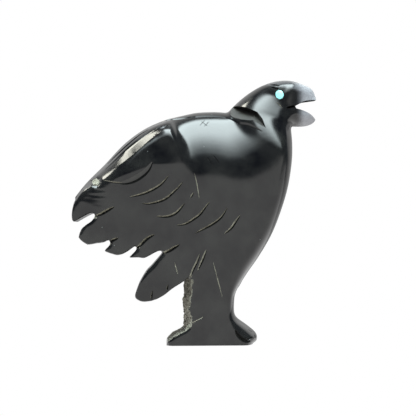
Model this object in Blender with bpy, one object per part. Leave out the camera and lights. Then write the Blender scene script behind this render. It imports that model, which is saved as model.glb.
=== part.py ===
"""A raven fetish carving: one polished black stone bird on its own foot block, with two turquoise eyes.

The bird looks along +X and stands on z = 0. Its mid-plane is y = 0 and both sides are alike.
The free form is laid out on a side drawing: x runs to the right and y down, in steps that are a
fixed share of the height. Thicknesses, inlays and clearances are sizes of their own, in metres.
"""

import math

import bmesh
import bpy
import numpy as np
from mathutils import Vector
from mathutils.bvhtree import BVHTree

# Driving sizes, in metres
HEIGHT = 0.066
BODY_THICKNESS = 0.022
TAIL_THICKNESS = 0.0195
HEAD_THICKNESS = 0.0125
BEAK_TIP_THICKNESS = 0.0055
FOOT_THICKNESS = 0.0200
KEEL_THICKNESS = 0.0004
EYE_DIAMETER = 0.0021
EYE_DEPTH = 0.0012
EYE_PROUD = 0.00025
EYE_GAP = 0.00018

# The side drawing: where the underside, the middle of the foot and the crown lie on it
DRAWN_GROUND = 343.0
DRAWN_CENTRE = 208.5
DRAWN_CROWN = 80.2
STEP = HEIGHT / (DRAWN_GROUND - DRAWN_CROWN)

# Each key section of the bird runs from the back to the underside: back x, y, underside x, y, and
# how far the rounding of the back reaches down it
KEY_SECTIONS = [
    (66, 211, 56, 262, 13),
    (84, 186.5, 84, 292, 14),
    (104, 166, 112, 303, 16),
    (125, 144, 140, 308, 20),
    (145, 129.3, 168, 307, 30),
    (165, 120.5, 192, 305, 44),
    (182, 116, 212, 302, 55),
    (196, 113, 228, 299.5, 61),
    (205, 112.3, 236, 290, 63),
    (210, 112.1, 246, 274, 64),
    (214, 112, 258, 257, 64),
    (218, 112.1, 271, 235, 64),
    (221, 112.3, 281, 210, 64),
    (224, 112.5, 288, 186, 63),
    (226.5, 112.7, 292, 160, 60),
    (229, 111.5, 292.3, 140, 54),
    (232, 108, 291.5, 126, 42),
    (240, 100.3, 295, 126.3, 32),
    (250, 92.5, 299, 126.4, 27),
    (262, 85.6, 303, 126.3, 25),
    (276, 81, 307, 125.8, 23),
    (290, 80.2, 310.5, 124.8, 21),
    (303, 83.8, 313, 123.6, 17),
    (312, 89.8, 315, 121.8, 12),
    (316.3, 98.5, 316.2, 119.8, 9),
]

# The foot's key slices, from the ground up: y, the rear edge and the front edge
KEY_SLICES = [
    (343, 163.5, 252.5),
    (341.5, 163.8, 255.2),
    (339, 164.8, 256.5),
    (336.5, 167.8, 257),
    (333.5, 172, 256.2),
    (330.7, 177, 254.2),
    (328.5, 181.8, 251.8),
    (325.5, 185.3, 248),
    (322.5, 187, 244),
    (319.5, 187.2, 239.6),
    (316.5, 187.2, 236),
    (313, 187, 233.8),
    (308, 187, 233.2),
    (300, 187, 233.5),
    (292, 187.5, 234.3),
    (284, 189.5, 235),
    (274, 193, 234),
    (264, 197, 231),
]

# The rounded front, from the leg up the belly and breast to the throat and out to the lower beak
FRONT_LINE = [
    (233.2, 313),
    (233.5, 300),
    (236, 290),
    (246, 274),
    (258, 257),
    (271, 235),
    (281, 210),
    (288, 186),
    (292, 160),
    (292.3, 140),
    (291.5, 126),
    (299, 126.4),
    (310.5, 124.8),
    (316.2, 119.8),
]

# What the saw took away: the tail end, the gaps between the feathers, the gap before the leg
TAIL_END = [(60, 190), (75, 200), (73.6, 203), (72, 210), (71.3, 216), (72, 221), (73.2, 222.6)]
FIRST_GAP = [(80, 218.6), (85, 215.8), (90, 213.4), (93, 213.1), (95, 214.8), (93.8, 217.6), (90.8, 221.6)]
SECOND_FEATHER = [(86, 224.6), (81, 228.6), (79.2, 233), (78, 237), (79.5, 239.5), (83, 242.3), (87, 244.7)]
SECOND_GAP = [(92, 244), (96, 243), (100, 243.1), (104, 241.2), (107, 239.6), (109, 240.4), (109.4, 243)]
THIRD_FEATHER = [(107.5, 246), (104, 249), (103.2, 250.8), (109, 253), (116, 255), (121, 253.7), (126, 251)]
THIRD_GAP = [(131, 247.2), (135, 244.2), (136.3, 244.2), (136, 247), (133, 251), (129, 255)]
FOURTH_FEATHER = [(126.9, 256.8), (130, 257.2), (136, 256.8), (142, 257.8), (147, 255.3), (153, 251.9)]
FOURTH_GAP = [(159, 249.5), (161.2, 249.8), (161, 251.5), (155, 258.5), (150, 264.3), (144, 270.3)]
TAIL_FEATHER = [(141, 275), (137, 282), (134.7, 288), (133, 293), (133, 296.5), (138, 299.5), (142, 300.3)]
TAIL_UNDERSIDE = [(149, 299.3), (155, 297.3), (162, 293.4), (168, 288.4), (173, 285), (178, 282), (183, 278.8)]
LEG_GAP = [(186.5, 275), (188.8, 279), (188.8, 330), (44, 330), (44, 190)]
SAW_LINE = (
    TAIL_END
    + FIRST_GAP
    + SECOND_FEATHER
    + SECOND_GAP
    + THIRD_FEATHER
    + THIRD_GAP
    + FOURTH_FEATHER
    + FOURTH_GAP
    + TAIL_FEATHER
    + TAIL_UNDERSIDE
    + LEG_GAP
)
MOUTH_LINE = [
    (330, 98),
    (316.8, 99.6),
    (311, 100.3),
    (304, 101),
    (301, 102.6),
    (299.5, 104.6),
    (295, 105.6),
    (290, 107),
    (288.5, 107.9),
    (290.5, 108.9),
    (296, 109.7),
    (304, 111.8),
    (308, 113.5),
    (312, 116),
    (316.8, 120),
    (330, 124),
]

# Chisel cuts on the flank: path on the drawing, then width and depth as steps of the drawing
FEATHER_CUTS = [
    ([(102, 180.7), (118.5, 183.6), (130.2, 180.7), (138, 176.3), (144.9, 171), (150.2, 163.2)], 6.5, 2.6),
    ([(127.3, 198.3), (142.9, 194.4), (157.5, 186.6), (166.3, 176.8)], 4.5, 1.8),
    ([(139, 204.1), (155.6, 203.1), (169.2, 195.3), (180, 182.7)], 4.5, 1.8),
    ([(153.6, 216.8), (169.2, 215.8), (180, 206.1), (190.2, 193.4)], 4.5, 1.8),
    ([(173.1, 225.5), (189.7, 220.3), (200.4, 209.9), (206.2, 202.2)], 4, 1.6),
    ([(191.3, 233.6), (204.3, 227.1), (218, 217.2), (223.8, 207)], 4, 1.6),
    ([(219.9, 234.3), (226.7, 228.5), (236.1, 215.3)], 3.6, 1.4),
    ([(202.8, 247), (199.4, 257.7), (194.1, 270.4)], 4, 1.5),
    ([(196.5, 251), (193.6, 260.6), (188, 275)], 4, 1.5),
    ([(92, 216.5), (102, 213.9), (113.6, 207.2)], 5, 2.6),
    ([(106, 242.5), (111, 241), (118.5, 236.8)], 5, 2.6),
    ([(133, 247), (141, 243.5), (152, 234)], 5, 2.6),
    ([(158, 252), (167, 250.5), (177, 243.5)], 5, 2.6),
    ([(149.5, 304), (149.3, 296), (150, 288)], 3, 1.4),
]
BACK_CUTS = [
    ([(106, 171.6), (120, 158), (133, 146), (147, 135.4), (161, 127.8)], 3.4, 2),
    ([(109, 165.2), (120, 154.2), (131, 144.2), (141, 136.6)], 2.4, 1.3),
    ([(160, 126), (180, 121.5), (200, 117.8), (220, 117.6), (236, 122.5), (252, 128.5), (258, 131.5)], 3.5, 1.8),
]
# The cut that parts the shoulder from the neck: at each station the outer end of the ledge, the
# valley and the outer end of the neck wall, each as x, y and share of half the body's thickness
NECK_CUT = [
    ((225, 121.5, 0.50), (226, 110.5, -0.05), (231, 103, 0.45)),
    ((245, 131, 1.02), (248, 119.5, 0.47), (258, 111, 0.95)),
    ((262, 139, 1.15), (265, 135, 0.95), (269, 130, 1.15)),
]
BROW_CUTS = [
    ([(269.5, 85.2), (273.5, 85.8), (278.5, 87.8)], 2.6, 1.3),
    ([(269.5, 88.6), (273.5, 89), (278, 91)], 2.6, 1.3),
]
TOE_CUTS = [
    ([(230, 326), (233, 333.5), (240, 338), (247, 340), (252, 341)], 6, 4),
    ([(243, 326), (249, 330.5), (253, 336), (254.5, 341)], 3.5, 2.2),
]
EYE_PLACE = (277.4, 95.8)
SCOOP_PLACE = (90, 198)
SCOOP_REACH = (15.0, 13.0)
SCOOP_DEPTH = 3.0


# Where the thickness changes, as places on the drawing: the tail and the beak narrow between two x
# values, the leg between two y values, and the head from just before this line to well beyond it
TAIL_NARROWS = (135, 72)
BEAK_NARROWS = (284, 320)
LEG_NARROWS = (275, 299)
LEG_NARROWS_SHARE = 0.7
NECK_LINE = ((228, 118), (292, 172))
HEAD_NARROWS = (-12, 40)

# How far the roundings reach in from the front edge, above and below these heights, and from the heel
BIRD_FRONT_REACH = (13, 24)
BIRD_FRONT_TURNS = (118, 160)
FOOT_FRONT_REACH = (16, 32)
FOOT_FRONT_TURNS = (314, 334)
FOOT_NARROWS = (280, 330)
FOOT_NARROWS_SHARE = 0.65
HEEL_BEHIND = 160
HEEL_REACH = 9
HEEL_TURNS = (322, 330)

# A cut runs out at its ends: this power makes its floor rise late, and it ends a little above the skin
RUN_OUT_POWER = 0.6
RUN_OUT_LIFT = 0.12

# The inlay's dome, as shares of its radius and of how far it stands proud
EYE_DOME = ((1, 0), (0.86, 0.5), (0.5, 0.86))

# The bird's right side is the near one, where y is negative
SIDES = {"right": 1, "left": -1}

# How finely each form is divided
STATIONS_PER_KEY = 2
SLICES_PER_KEY = 1
POINTS_PER_EDGE_KEY = 6
POINTS_ACROSS_BODY = 17
POINTS_ACROSS_FOOT = 13
CUT_SEGMENT = 5.5
FEWEST_CUT_SEGMENTS = 4
CUT_EVENING_ROUNDS = 3
SCOOP_RINGS = 8
SCOOP_SIDES = 16
EYE_SIDES = 20


def clear_scene():
    for thing in list(bpy.data.objects):
        bpy.data.objects.remove(thing, do_unlink=True)


def stone(name, colour, roughness):
    material = bpy.data.materials.new(name)
    material.use_nodes = True
    shader = material.node_tree.nodes["Principled BSDF"]
    shader.inputs["Base Color"].default_value = (*colour, 1.0)
    shader.inputs["Roughness"].default_value = roughness
    shader.inputs["Metallic"].default_value = 0.0
    return material


def add_mesh(name, points, faces, material=None, cutter=False):
    mesh = bpy.data.meshes.new(name)
    mesh.from_pydata([tuple(point) for point in points], [], [tuple(face) for face in faces])
    shell = bmesh.new()
    shell.from_mesh(mesh)
    bmesh.ops.recalc_face_normals(shell, faces=shell.faces)
    shell.to_mesh(mesh)
    shell.free()
    piece = bpy.data.objects.new(name, mesh)
    bpy.context.scene.collection.objects.link(piece)
    if material:
        mesh.materials.append(material)
    if cutter:
        piece.hide_render = True
        piece.display_type = "WIRE"
    return piece


def to_metres(drawn):
    """Drawing points to x and z in metres."""
    drawn = np.asarray(drawn, float)
    return np.stack([(drawn[..., 0] - DRAWN_CENTRE) * STEP, (DRAWN_GROUND - drawn[..., 1]) * STEP], axis=-1)


def smooth_line(keys, per_span):
    """A Catmull-Rom line through the keys, which may hold any number of columns."""
    keys = np.asarray(keys, float)
    padded = np.vstack([2 * keys[0] - keys[1], keys, 2 * keys[-1] - keys[-2]])
    rows = []
    for i in range(len(keys) - 1):
        a, b, c, d = padded[i : i + 4]
        for u in np.arange(per_span) / per_span:
            rows.append(
                0.5 * (2 * b + (c - a) * u + (2 * a - 5 * b + 4 * c - d) * u**2 + (3 * b - a - 3 * c + d) * u**3)
            )
    rows.append(keys[-1])
    return np.array(rows)


def distance_to(points, line):
    """How far each drawn point is from a drawn line."""
    start = line[:-1]
    along = line[1:] - start
    away = points[..., None, :] - start
    share = (away * along).sum(-1) / (along**2).sum(-1)
    nearest = away - np.clip(share, 0, 1)[..., None] * along
    return np.sqrt((nearest**2).sum(-1)).min(-1)


def ease(value, low, high):
    """0 at low and before it, 1 at high and beyond it, and smooth between them."""
    share = np.clip((np.asarray(value, float) - low) / (high - low), 0, 1)
    return share * share * (3 - 2 * share)


def rounding(distance, reach):
    """A quarter ellipse: 0 at the edge, 1 from the reach on."""
    inward = 1 - np.clip(distance / reach, 0, 1)
    return np.sqrt(1 - inward**2)


def flat_half_width(drawn):
    """Half the thickness where no edge is near: the slab of the body, thinner at the tail, head and beak."""
    x = drawn[..., 0]
    y = drawn[..., 1]
    body = BODY_THICKNESS / 2
    tail = TAIL_THICKNESS / 2
    head = HEAD_THICKNESS / 2
    tip = BEAK_TIP_THICKNESS / 2
    (nape_x, nape_y), (breast_x, breast_y) = NECK_LINE
    run = breast_x - nape_x
    fall = breast_y - nape_y
    above_neck = ((x - nape_x) * fall - (y - nape_y) * run) / math.hypot(run, fall)
    width = body + (tail - body) * ease(x, *TAIL_NARROWS)
    width = width + (head - width) * ease(above_neck, *HEAD_NARROWS)
    width = width + (tip - width) * ease(x, *BEAK_NARROWS)
    return width - (body - FOOT_THICKNESS / 2) * LEG_NARROWS_SHARE * ease(y, *LEG_NARROWS)


def bird_half_width(drawn, back_reach):
    back = smooth_line([key[:2] for key in KEY_SECTIONS], POINTS_PER_EDGE_KEY)
    front = smooth_line(FRONT_LINE, POINTS_PER_EDGE_KEY)
    above, below = BIRD_FRONT_REACH
    front_reach = above + (below - above) * ease(drawn[..., 1], *BIRD_FRONT_TURNS)
    width = flat_half_width(drawn) * rounding(distance_to(drawn, back), back_reach)
    width = width * rounding(distance_to(drawn, front), front_reach)
    return np.maximum(width, KEEL_THICKNESS / 2)


def foot_half_width(drawn):
    front = smooth_line([(key[2], key[0]) for key in KEY_SLICES], POINTS_PER_EDGE_KEY)
    low = drawn[..., 1]
    body = BODY_THICKNESS / 2
    leg = body - (body - FOOT_THICKNESS / 2) * (1 - FOOT_NARROWS_SHARE)
    width = leg + (FOOT_THICKNESS / 2 - leg) * ease(low, *FOOT_NARROWS)
    above, below = FOOT_FRONT_REACH
    front_reach = above + (below - above) * ease(low, *FOOT_FRONT_TURNS)
    width = width * rounding(distance_to(drawn, front), front_reach)
    heel = rounding(drawn[..., 0] - HEEL_BEHIND, HEEL_REACH)
    width = width * (1 - ease(low, *HEEL_TURNS) * (1 - heel))
    return np.maximum(width, KEEL_THICKNESS / 2)


def two_sided(rows, widths):
    """A closed mesh from rows of side points and their half-widths, one skin for each side."""
    across = rows.shape[1]
    side = to_metres(rows)
    count = rows.shape[0] * across
    points = np.zeros((2, rows.shape[0], across, 3))
    points[:, :, :, 0] = side[..., 0]
    points[:, :, :, 2] = side[..., 1]
    points[0, :, :, 1] = -widths
    points[1, :, :, 1] = widths
    faces = []
    for i in range(rows.shape[0] - 1):
        for j in range(across - 1):
            a = i * across + j
            near = (a, a + 1, a + across + 1, a + across)
            faces.append(near)
            faces.append(tuple(count + k for k in reversed(near)))
        top = i * across
        low = top + across - 1
        faces.append((top, top + across, count + top + across, count + top))
        faces.append((low, count + low, count + low + across, low + across))
    last = (rows.shape[0] - 1) * across
    for j in range(across - 1):
        faces.append((j, count + j, count + j + 1, j + 1))
        faces.append((last + j, last + j + 1, count + last + j + 1, count + last + j))
    return points.reshape(-1, 3), faces


def spread(count):
    """Shares from 0 to 1, closer together at both ends, where the form turns."""
    return (1 - np.cos(np.linspace(0, math.pi, count))) / 2


def make_bird(material):
    sections = smooth_line(KEY_SECTIONS, STATIONS_PER_KEY)
    share = spread(POINTS_ACROSS_BODY)[None, :, None]
    rows = sections[:, None, 0:2] * (1 - share) + sections[:, None, 2:4] * share
    widths = bird_half_width(rows, sections[:, None, 4])
    return add_mesh("raven", *two_sided(rows, widths), material)


def make_foot():
    slices = smooth_line(KEY_SLICES, SLICES_PER_KEY)
    share = spread(POINTS_ACROSS_FOOT)[None, :]
    x = slices[:, 1:2] * (1 - share) + slices[:, 2:3] * share
    rows = np.stack([x, np.broadcast_to(slices[:, 0:1], x.shape)], axis=-1)
    points, faces = two_sided(rows, foot_half_width(rows))
    return add_mesh("foot_blank", points, faces, cutter=True)


def saw_cutter(name, outline):
    """An outline sawn straight through the thickness."""
    reach = BODY_THICKNESS
    side = to_metres(outline)
    if signed_area(side) < 0:
        side = side[::-1]
    count = len(side)
    points = [(x, -reach, z) for x, z in side] + [(x, reach, z) for x, z in side]
    faces = [tuple(range(count)), tuple(range(2 * count - 1, count - 1, -1))]
    for i in range(count):
        j = (i + 1) % count
        faces.append((j, i, i + count, j + count))
    return add_mesh(name, points, faces, cutter=True)


def signed_area(side):
    after = np.roll(side, -1, axis=0)
    return (side[:, 0] * after[:, 1] - side[:, 1] * after[:, 0]).sum() / 2


def skin_of(piece):
    mesh = piece.data
    return BVHTree.FromPolygons([v.co.copy() for v in mesh.vertices], [tuple(p.vertices) for p in mesh.polygons])


def on_skin(skin, drawn):
    """The near side's point and outward normal at a place on the drawing."""
    x, z = to_metres(drawn)
    normal = Vector((0, 0, 0))
    place, found, _, _ = skin.ray_cast(Vector((x, -HEIGHT, z)), Vector((0, 1, 0)))
    if place is None:
        place, _, _, _ = skin.find_nearest(Vector((x, -BODY_THICKNESS / 2, z)))
        return place, (Vector((0, 0, 1)) + Vector((0, -1, 0))).normalized()
    for dx, dz in ((0, 0), (STEP, 0), (-STEP, 0), (0, STEP), (0, -STEP)):
        _, around, _, _ = skin.ray_cast(Vector((x + dx, -HEIGHT, z + dz)), Vector((0, 1, 0)))
        normal += around if around is not None else found
    return place, normal.normalized()


def chisel_rings(skin, path, width, depth):
    """Rings of a V-shaped cut that follows a drawn path on the skin and runs out at its ends.

    It stands as far above the skin as it cuts below it.
    """
    line = smooth_line(path, POINTS_PER_EDGE_KEY)
    steps = np.linalg.norm(np.diff(line, axis=0), axis=1)
    travelled = np.concatenate([[0], np.cumsum(steps)])
    last = max(FEWEST_CUT_SEGMENTS, round(travelled[-1] / CUT_SEGMENT))
    stops = np.linspace(0, travelled[-1], last + 1)
    spots = [on_skin(skin, (np.interp(s, travelled, line[:, 0]), np.interp(s, travelled, line[:, 1]))) for s in stops]
    places = [place for place, _ in spots]
    normals = [normal for _, normal in spots]
    for _ in range(CUT_EVENING_ROUNDS):
        normals = [
            (normals[max(i - 1, 0)] + normals[i] + normals[min(i + 1, last)]).normalized() for i in range(last + 1)
        ]
    rings = []
    for i, (place, normal) in enumerate(zip(places, normals)):
        arch = max(math.sin(math.pi * i / last), 0)
        deep = arch**RUN_OUT_POWER * (1 + RUN_OUT_LIFT) - RUN_OUT_LIFT
        ahead = places[min(i + 1, last)] - places[max(i - 1, 0)]
        across = normal.cross(ahead).normalized() * width * STEP / 2 * (deep + 1)
        lifted = place + normal * depth * STEP
        rings.append((lifted - across, place - normal * depth * STEP * deep, lifted + across))
    return rings


def chisel(bird, name, skin, cuts):
    """Cuts each path into both sides. Neighbouring cuts cross above the skin, so each has its own cutter."""
    for number, (path, width, depth) in enumerate(cuts, 1):
        rings = chisel_rings(skin, path, width, depth)
        points = []
        faces = []
        for mirror in SIDES.values():
            add_rings(points, faces, rings, mirror)
        cut(bird, add_mesh(f"{name}_{number}", points, faces, cutter=True))


def add_rings(points, faces, rings, mirror):
    """One V-shaped cut; mirror is 1 on the near side, where y is negative, and -1 on the far one."""
    first = len(points)
    for ring in rings:
        points.extend((spot.x, mirror * spot.y, spot.z) for spot in ring)
    for i in range(len(rings) - 1):
        a = first + 3 * i
        for j in range(3):
            k = (j + 1) % 3
            faces.append((a + j, a + k, a + 3 + k, a + 3 + j))
    end = first + 3 * (len(rings) - 1)
    faces.append((first + 2, first + 1, first))
    faces.append((end, end + 1, end + 2))


def neck_cutter(side):
    """The deep cut on one side that parts the wing's shoulder from the neck."""
    points = []
    faces = []
    rings = []
    for station in NECK_CUT:
        ring = []
        for x, y, share in station:
            across, up = to_metres((x, y))
            ring.append(Vector((across, -share * BODY_THICKNESS / 2, up)))
        rings.append(ring)
    add_rings(points, faces, rings, SIDES[side])
    return add_mesh(f"neck_chisel_{side}", points, faces, cutter=True)


def scoop_cutter(skin):
    """The shallow hollow on each side of the tail, above the first feather."""
    place, _ = on_skin(skin, SCOOP_PLACE)
    rings = SCOOP_RINGS
    around = SCOOP_SIDES
    points = []
    faces = []
    for mirror in SIDES.values():
        first = len(points)
        for i in range(1, rings):
            lean = math.pi * i / rings
            for j in range(around):
                turn = 2 * math.pi * j / around
                x = place.x + SCOOP_REACH[0] * STEP * math.sin(lean) * math.cos(turn)
                z = place.z + SCOOP_REACH[1] * STEP * math.sin(lean) * math.sin(turn)
                y = place.y + SCOOP_DEPTH * STEP * math.cos(lean)
                points.append((x, mirror * y, z))
        inner = len(points)
        points.append((place.x, mirror * (place.y + SCOOP_DEPTH * STEP), place.z))
        outer = len(points)
        points.append((place.x, mirror * (place.y - SCOOP_DEPTH * STEP), place.z))
        made = []
        for j in range(around):
            k = (j + 1) % around
            made.append((inner, first + k, first + j))
            for i in range(rings - 2):
                a = first + i * around
                made.append((a + j, a + k, a + around + k, a + around + j))
            a = first + (rings - 2) * around
            made.append((outer, a + j, a + k))
        faces.extend(made)
    return add_mesh("tail_scoops", points, faces, cutter=True)


def disc_stack(name, centre, axis, levels, material=None, cutter=False):
    """A turned solid about an axis: levels are radius and height along it, from the inner end out."""
    sides = EYE_SIDES
    side = axis.orthogonal().normalized()
    other = axis.cross(side)
    points = []
    faces = []
    for radius, height in levels:
        for j in range(sides):
            turn = 2 * math.pi * j / sides
            arm = side * math.cos(turn) + other * math.sin(turn)
            points.append(centre + axis * height + arm * radius)
    for i in range(len(levels) - 1):
        for j in range(sides):
            k = (j + 1) % sides
            faces.append((i * sides + j, i * sides + k, (i + 1) * sides + k, (i + 1) * sides + j))
    faces.append(tuple(range(sides - 1, -1, -1)))
    faces.append(tuple(range((len(levels) - 1) * sides, len(levels) * sides)))
    return add_mesh(name, points, faces, material, cutter)


def cut(piece, cutter, operation="DIFFERENCE"):
    modifier = piece.modifiers.new(f"{operation} {cutter.name}", "BOOLEAN")
    modifier.operation = operation
    modifier.solver = "EXACT"
    modifier.object = cutter


def make_eyes(skin, bird, turquoise):
    place, normal = on_skin(skin, EYE_PLACE)
    radius = EYE_DIAMETER / 2
    hole = radius + EYE_GAP
    for name, mirror in SIDES.items():
        centre = Vector((place.x, mirror * place.y, place.z))
        axis = Vector((normal.x, mirror * normal.y, normal.z))
        socket = [(hole, -EYE_DEPTH - EYE_GAP), (hole, radius)]
        dome = [(radius, -EYE_DEPTH)] + [(radius * out, EYE_PROUD * up) for out, up in EYE_DOME]
        cut(bird, disc_stack(f"{name}_socket", centre, axis, socket, cutter=True))
        inlay = disc_stack(f"eye_{name}", centre, axis, dome, turquoise)
        inlay.data.shade_smooth()
        inlay.data.set_sharp_from_angle(angle=math.radians(35))


def main():
    clear_scene()
    black = stone("polished black stone", (0.012, 0.012, 0.013), 0.16)
    turquoise = stone("turquoise", (0.12, 0.62, 0.62), 0.3)
    bird = make_bird(black)
    foot = make_foot()
    skin = skin_of(bird)
    foot_skin = skin_of(foot)
    cut(bird, saw_cutter("feather_saw", SAW_LINE))
    cut(bird, foot, "UNION")
    cut(bird, saw_cutter("mouth_saw", MOUTH_LINE))
    cut(bird, scoop_cutter(skin))
    for side in SIDES:
        cut(bird, neck_cutter(side))
    chisel(bird, "feather_chisel", skin, FEATHER_CUTS)
    chisel(bird, "back_chisel", skin, BACK_CUTS)
    chisel(bird, "brow_chisel", skin, BROW_CUTS)
    chisel(bird, "toe_chisel", foot_skin, TOE_CUTS)
    make_eyes(skin, bird, turquoise)


main()
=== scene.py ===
"""The finished look of a small polished raven carving in black stone, with its floor, lights and camera.

The bird looks along +X, stands on z = 0, and its right side, towards -Y, is the one the camera sees.
"""

import math

import bpy
import numpy as np
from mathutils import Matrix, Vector, noise
from mathutils.bvhtree import BVHTree


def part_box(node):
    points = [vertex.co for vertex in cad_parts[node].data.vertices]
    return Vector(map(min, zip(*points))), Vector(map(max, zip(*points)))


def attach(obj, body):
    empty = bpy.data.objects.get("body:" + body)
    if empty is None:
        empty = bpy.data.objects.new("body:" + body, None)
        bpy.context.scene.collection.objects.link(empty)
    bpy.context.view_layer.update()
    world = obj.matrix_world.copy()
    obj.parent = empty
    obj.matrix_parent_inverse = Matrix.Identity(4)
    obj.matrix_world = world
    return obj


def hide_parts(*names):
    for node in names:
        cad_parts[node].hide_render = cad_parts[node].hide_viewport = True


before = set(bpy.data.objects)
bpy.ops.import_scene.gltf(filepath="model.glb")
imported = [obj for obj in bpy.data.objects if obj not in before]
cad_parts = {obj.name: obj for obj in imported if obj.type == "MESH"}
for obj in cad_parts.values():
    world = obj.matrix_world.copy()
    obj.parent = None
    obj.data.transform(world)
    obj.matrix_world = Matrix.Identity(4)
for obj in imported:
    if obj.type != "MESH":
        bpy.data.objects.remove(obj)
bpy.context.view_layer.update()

MM = 0.001

# The bird is laid out on a side drawing: x runs to the right and y down, in steps of one drawn point.
# The crown and the ground line fix the step, and the CAD body gives the height and the thickness.
DRAWN_GROUND = 343.0
DRAWN_CENTRE = 208.5
DRAWN_CROWN = 80.2
raven_low, raven_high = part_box("raven")
HEIGHT = raven_high[2] - raven_low[2]
STEP = HEIGHT / (DRAWN_GROUND - DRAWN_CROWN)
# Half the thickness of each part, and the least anywhere
BODY = (raven_high[1] - raven_low[1]) / 2
TAIL = BODY - 1.25 * MM
HEAD = BODY - 4.75 * MM
BEAK_TIP = BODY - 8.25 * MM
FOOT = BODY - 1.0 * MM
KEEL = 0.5 * MM

# The blade that cut the feathers and the heel ran at a slant: how far it moved between the body's
# sides, and where the slant fades out towards the leg, each as none and full
SAW_SLANT = 1.25 * MM
SAW_REACH = 1.2 * BODY
MOUTH_SAW_REACH = 2 * BODY
SLANT_FADES = (187, 165)
HEEL_SLANT_FADES = ((200, 180), (320, 330))

# Key sections from the back to the underside: back x, y, underside x, y, reach of the back's rounding
KEY_SECTIONS = [
    (66, 211, 56, 262, 4),
    (84, 186.5, 84, 292, 4.5),
    (104, 166, 112, 303, 15),
    (125, 144, 140, 308, 16),
    (145, 129.3, 168, 307, 16),
    (165, 120.5, 192, 305, 18),
    (173.5, 118.1, 202, 303.7, 46),
    (182, 116, 212, 302, 63),
    (189, 114.4, 220, 301, 66),
    (196, 113, 228, 299.5, 66.5),
    (205, 112.3, 236, 290, 68),
    (210, 112.1, 246, 274, 70),
    (214, 112, 258, 257, 72),
    (218, 112.1, 271, 235, 74),
    (221, 112.3, 281, 210, 74),
    (224, 112.5, 288, 186, 74),
    (226.5, 112.7, 292, 160, 73),
    (229, 111.5, 292.3, 140, 66),
    (232, 108, 291.5, 126, 58),
    (240, 100.3, 295, 126.3, 47),
    (250, 92.5, 299, 126.4, 35),
    (262, 85.6, 303, 126.3, 26),
    (276, 81, 307, 125.8, 17),
    (290, 80.2, 310.5, 124.8, 9),
    (303, 83.8, 313, 123.6, 9),
    (312.8, 88.6, 315.2, 121.8, 9),
    (316.8, 97, 316.6, 119.8, 7),
]

# The foot's slices from the ground up: y, the rear edge and the front edge
KEY_SLICES = [
    (343, 163.5, 252.5),
    (341.5, 163.8, 255.2),
    (339, 164.8, 256.5),
    (336.5, 167.8, 257),
    (333.5, 172, 256.2),
    (330.7, 177, 254.2),
    (328.5, 181.8, 251.8),
    (325.5, 185.3, 248),
    (322.5, 187, 244),
    (319.5, 187.2, 239.6),
    (316.5, 187.2, 236),
    (313, 187, 233.8),
    (308, 187, 233.2),
    (300, 187, 233.5),
    (292, 187.5, 234.3),
    (284, 189.5, 235),
    (274, 193, 234),
    (264, 197, 231),
]
FRONT_LINE = [
    (233.2, 313),
    (233.5, 300),
    (236, 290),
    (246, 274),
    (258, 257),
    (271, 235),
    (281, 210),
    (288, 186),
    (292, 160),
    (292.3, 140),
    (291.5, 126),
    (299, 126.4),
    (310.5, 124.8),
    (316.2, 119.8),
]

# What the saw took away between the feathers and behind the leg
TAIL_END = [(60, 190), (75, 200), (73.6, 203), (72, 210), (71.3, 216), (72, 221), (73.2, 222.6)]
FIRST_GAP = [(80, 218.6), (85, 215.8), (90, 213.4), (93, 213.1), (95, 214.8), (93.8, 217.6), (90.8, 221.6)]
SECOND_FEATHER = [(86, 224.6), (81, 228.6), (79.2, 233), (78, 237), (79.5, 239.5), (83, 242.3), (87, 244.7)]
SECOND_GAP = [(92, 244), (96, 243), (100, 243.1), (104, 241.2), (107, 239.6), (109, 240.4), (109.4, 243)]
THIRD_FEATHER = [(107.5, 246), (104, 249), (103.2, 250.8), (109, 253), (116, 255), (121, 253.7), (126, 251)]
THIRD_GAP = [(131, 247.2), (135, 244.2), (136.3, 244.2), (136, 247), (133, 251), (129, 255)]
FOURTH_FEATHER = [(126.9, 256.8), (130, 257.2), (136, 256.8), (142, 257.8), (147, 255.3), (153, 251.9)]
FOURTH_GAP = [(159, 249.5), (161.2, 249.8), (161, 251.5), (155, 258.5), (150, 264.3), (144, 270.3)]
TAIL_FEATHER = [(141, 275), (137, 282), (134.7, 288), (133, 293), (133, 296.5), (138, 299.5), (142, 300.3)]
TAIL_UNDERSIDE = [(149, 299.3), (155, 297.3), (162, 293.4), (168, 288.4), (173, 285), (178, 282)]
LEG_GAP = [(183, 278.8), (186.5, 275), (188.8, 279), (188.8, 330), (44, 330), (44, 190)]
SAW_LINE = (
    TAIL_END
    + FIRST_GAP
    + SECOND_FEATHER
    + SECOND_GAP
    + THIRD_FEATHER
    + THIRD_GAP
    + FOURTH_FEATHER
    + FOURTH_GAP
    + TAIL_FEATHER
    + TAIL_UNDERSIDE
    + LEG_GAP
)
MOUTH_LINE = [
    (330, 98),
    (316.8, 99.8),
    (311, 100.3),
    (305, 101),
    (301, 102.4),
    (298.3, 104.2),
    (294.2, 105.2),
    (293.2, 107.4),
    (294.2, 109.4),
    (298.5, 110.2),
    (304, 111.8),
    (308, 113.5),
    (312, 116),
    (316.8, 120),
    (330, 124),
]

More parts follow.
